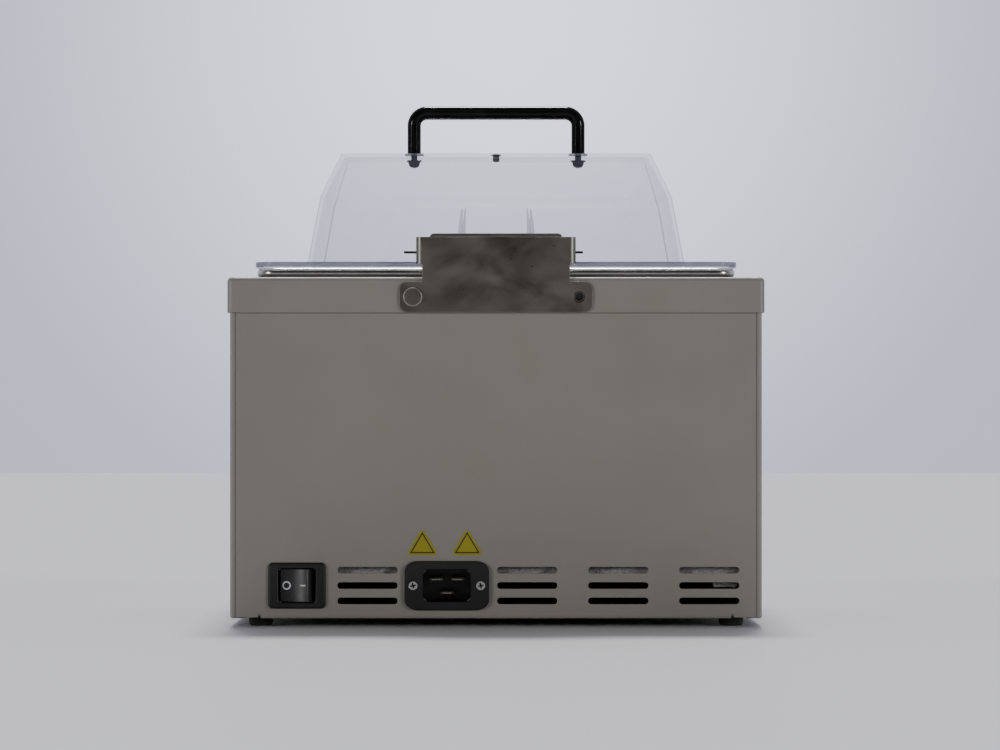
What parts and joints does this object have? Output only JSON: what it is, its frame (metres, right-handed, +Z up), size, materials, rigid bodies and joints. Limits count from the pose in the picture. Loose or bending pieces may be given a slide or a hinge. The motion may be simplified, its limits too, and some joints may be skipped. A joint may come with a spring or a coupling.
{
  "type": "dry block heater",
  "caption": "Benchtop heater with a painted sheet housing, a recessed chamber for drilled aluminium tube blocks and a hinged clear gable lid with a bar handle.",
  "frame": {"origin": "centre of the footprint's bounding box, on the bench under the rubber feet", "axes": "+Z up; -Y is the front with the controls, +Y the rear with the lid hinge, the mains inlet and the switch; +X is the side nearest the switch"},
  "size_m": [0.318, 0.347, 0.3172],
  "materials": {
    "cabinet_paint": "satin powder coat",
    "cover_paint": "satin powder coat",
    "zinc_sheet": "galvanised",
    "stainless": "satin stainless",
    "bracket_steel": "brushed stainless, handled",
    "block_aluminium": "machined and anodised",
    "cast_aluminium": "machined",
    "screw_steel": "bright zinc",
    "dark_wire": "blackened",
    "clear_sheet": "clear thermoformed polycarbonate",
    "black_bar": "gloss black",
    "black_plastic": "moulded",
    "foot_rubber": "matt",
    "mineral_wool": "felted fibre",
    "orange_silicone": "satin",
    "circuit_green": "solder mask",
    "plated_brass": "nickel plated",
    "brass": "turned",
    "label_yellow": "printed film",
    "key_grey": "moulded",
    "smoked_window": "smoked",
    "wire_sleeve": "pvc",
    "core_steel": "varnished laminations",
    "cream_plastic": "moulded"
  },
  "bodies": {
    "housing": {"base_pan": "zinc_sheet", "left_side_panel": "cabinet_paint", "right_side_panel": "cabinet_paint", "front_panel": "cabinet_paint", "rear_panel": "cabinet_paint", "top_cover": "cover_paint", "deck_pan": "stainless", "block_chamber": "cast_aluminium", "heater_mat": "orange_silicone", "mat_clamp_plate": "zinc_sheet", "clamp_screws": "screw_steel", "chamber_posts": "screw_steel", "side_insulation": "mineral_wool", "base_insulation": "mineral_wool", "rear_blanket": "mineral_wool", "temperature_sensor": "screw_steel", "safety_thermostat": "black_plastic", "control_board": "circuit_green", "board_spacers": "brass", "display_module": "black_plastic", "key_domes": "foot_rubber", "transformer": "core_steel", "relay_heat_sink": "cast_aluminium", "solid_state_relay": "cream_plastic", "terminal_block": "cream_plastic", "earth_stud": "brass", "mains_wires": "wire_sleeve", "heater_wires": "wire_sleeve", "control_fascia": "black_plastic", "display_window": "smoked_window", "switch_housing": "black_plastic", "inlet_body": "black_plastic", "inlet_pins": "plated_brass", "inlet_screws": "screw_steel", "warning_stickers": "label_yellow", "rubber_feet": "foot_rubber", "foot_screws": "screw_steel", "hinge_bracket": "bracket_steel", "hinge_inserts": "plated_brass", "hinge_screw": "screw_steel", "hinge_pin": "dark_wire"},
    "lid": {"hinge_leaf": "bracket_steel", "leaf_screws": "screw_steel", "lid_hood": "clear_sheet", "lid_handle": "black_bar", "handle_washers": "clear_sheet", "handle_screws": "black_bar", "lid_plug": "foot_rubber"},
    "rocker": {"power_rocker": "black_plastic"},
    "set_button": {"set_key": "key_grey"},
    "down_button": {"down_key": "key_grey"},
    "up_button": {"up_key": "key_grey"},
    "start_button": {"start_key": "key_grey"},
    "block_1": {"tube_block_1": "block_aluminium"},
    "block_2": {"tube_block_2": "block_aluminium"},
    "block_3": {"tube_block_3": "block_aluminium"},
    "block_4": {"tube_block_4": "block_aluminium"}
  },
  "joints": [
    {"name": "lid_hinge", "type": "hinge", "parent": "housing", "child": "lid", "pos_m": [0, 0.1575, 0.222], "axis": [-1, 0, 0], "range_deg": [0, 95]},
    {"name": "rocker_tilt", "type": "hinge", "parent": "housing", "child": "rocker", "pos_m": [0.1177, 0.163, 0.0245], "axis": [0, 0, 1], "range_deg": [0, 30]},
    {"name": "set_press", "type": "slide", "parent": "housing", "child": "set_button", "axis": [0, 1, 0], "range_m": [0, 0.0006], "stiffness_N_per_m": 2500},
    {"name": "down_press", "type": "slide", "parent": "housing", "child": "down_button", "axis": [0, 1, 0], "range_m": [0, 0.0006], "stiffness_N_per_m": 2500},
    {"name": "up_press", "type": "slide", "parent": "housing", "child": "up_button", "axis": [0, 1, 0], "range_m": [0, 0.0006], "stiffness_N_per_m": 2500},
    {"name": "start_press", "type": "slide", "parent": "housing", "child": "start_button", "axis": [0, 1, 0], "range_m": [0, 0.0006], "stiffness_N_per_m": 2500},
    {"name": "block_1_lift", "type": "slide", "parent": "housing", "child": "block_1", "axis": [0, 0, 1], "range_m": [0, 0.06]},
    {"name": "block_2_lift", "type": "slide", "parent": "housing", "child": "block_2", "axis": [0, 0, 1], "range_m": [0, 0.06]},
    {"name": "block_3_lift", "type": "slide", "parent": "housing", "child": "block_3", "axis": [0, 0, 1], "range_m": [0, 0.06]},
    {"name": "block_4_lift", "type": "slide", "parent": "housing", "child": "block_4", "axis": [0, 0, 1], "range_m": [0, 0.06]}
  ]
}
